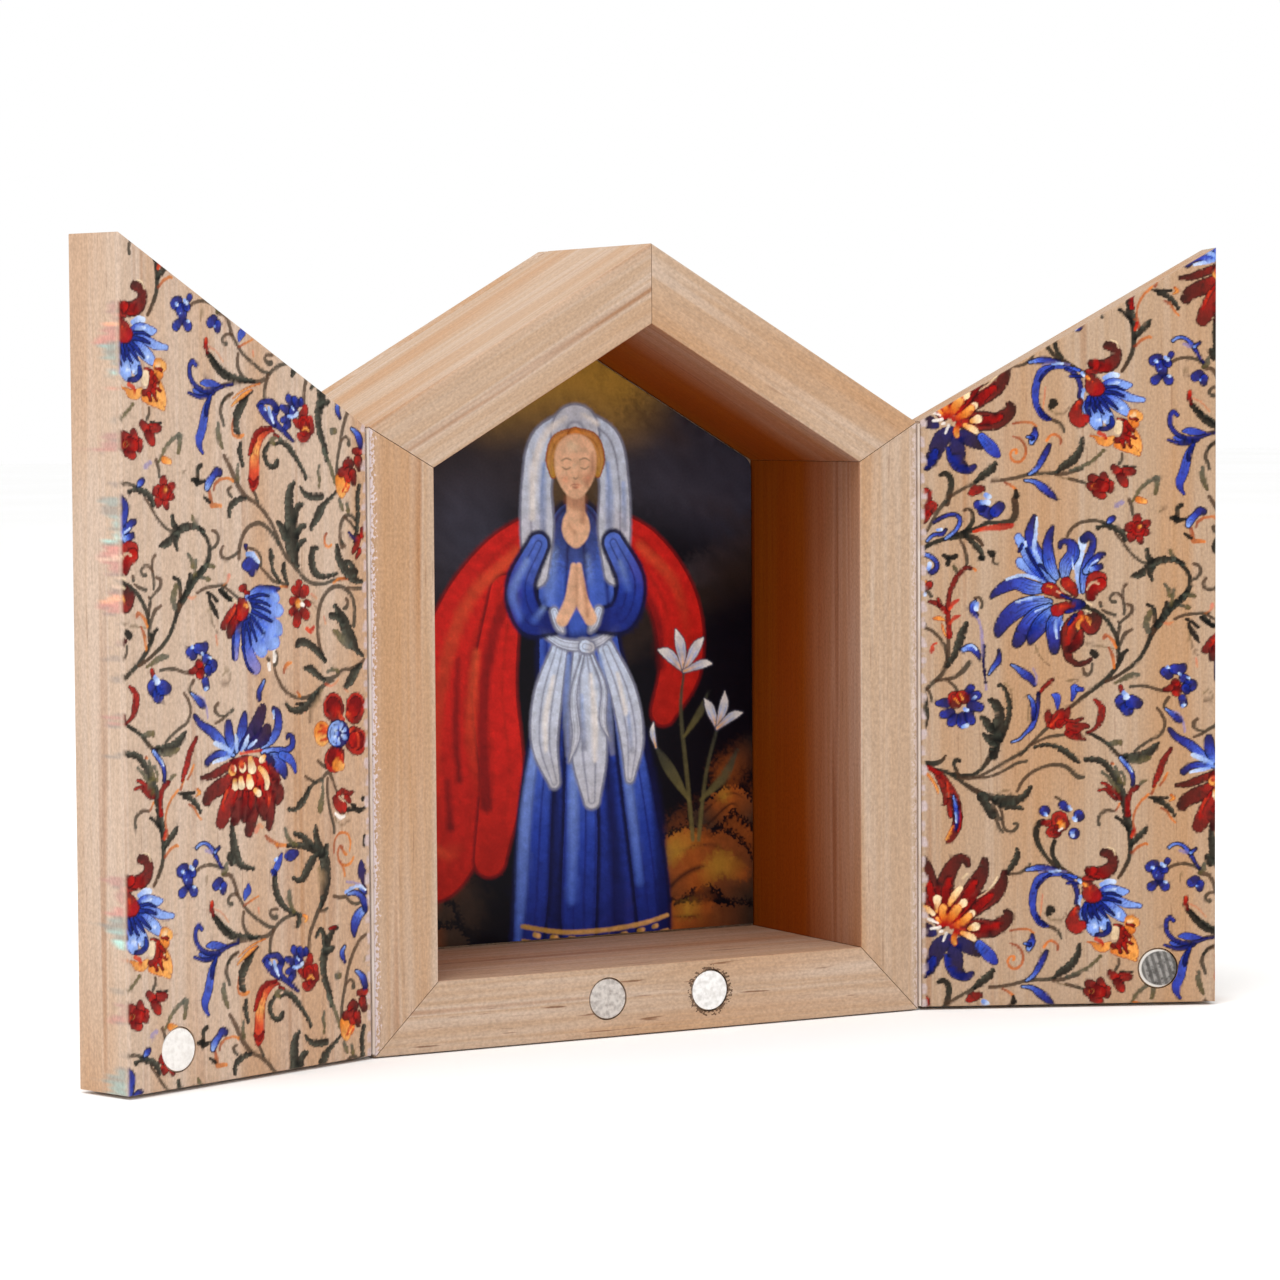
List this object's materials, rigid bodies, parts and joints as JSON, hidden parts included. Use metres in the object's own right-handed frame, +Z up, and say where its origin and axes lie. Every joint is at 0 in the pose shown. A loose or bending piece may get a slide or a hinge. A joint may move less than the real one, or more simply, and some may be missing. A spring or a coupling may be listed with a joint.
{
  "type": "pocket shrine with doors",
  "caption": "House-shaped pine box, open at the front, with a picture at its back and hinged board doors that close over it and are held by disc magnets.",
  "frame": {"origin": "middle of the bottom board's underside, which the object stands on", "axes": "+Z up, +X to the right seen from the open front, +Y towards the back; the doors open towards -Y"},
  "size_m": [0.1815, 0.0533, 0.114],
  "materials": {
    "frame_pine": "bare sanded pine, sawn end faces a little fuzzy",
    "back_wood": "thin bare wood panel",
    "printed_card": "satin printed card",
    "printed_pine": "bare pine with a floral print on the inner face",
    "hinge_film": "translucent film strip",
    "magnet_nickel": "nickel plate, lightly scratched"
  },
  "bodies": {
    "box": {"bottom_board": "frame_pine", "left_side_board": "frame_pine", "right_side_board": "frame_pine", "left_roof_board": "frame_pine", "right_roof_board": "frame_pine", "back_panel": "back_wood", "picture_panel": "printed_card", "left_frame_magnet": "magnet_nickel", "right_frame_magnet": "magnet_nickel", "left_hinge_frame_leaf": "hinge_film", "right_hinge_frame_leaf": "hinge_film", "left_hinge_fold": "hinge_film", "right_hinge_fold": "hinge_film"},
    "left_door": {"left_door": "printed_pine", "left_door_magnet": "magnet_nickel", "left_hinge_door_leaf": "hinge_film"},
    "right_door": {"right_door": "printed_pine", "right_door_magnet": "magnet_nickel", "right_hinge_door_leaf": "hinge_film"}
  },
  "joints": [
    {"name": "left_door_hinge", "type": "hinge", "parent": "box", "child": "left_door", "pos_m": [-0.04525, -0.01615, 0.044], "axis": [0, 0, -1], "range_deg": [-160.4, 19.6]},
    {"name": "right_door_hinge", "type": "hinge", "parent": "box", "child": "right_door", "pos_m": [0.04525, -0.01615, 0.044], "axis": [0, 0, 1], "range_deg": [-156.1, 23.9]}
  ]
}
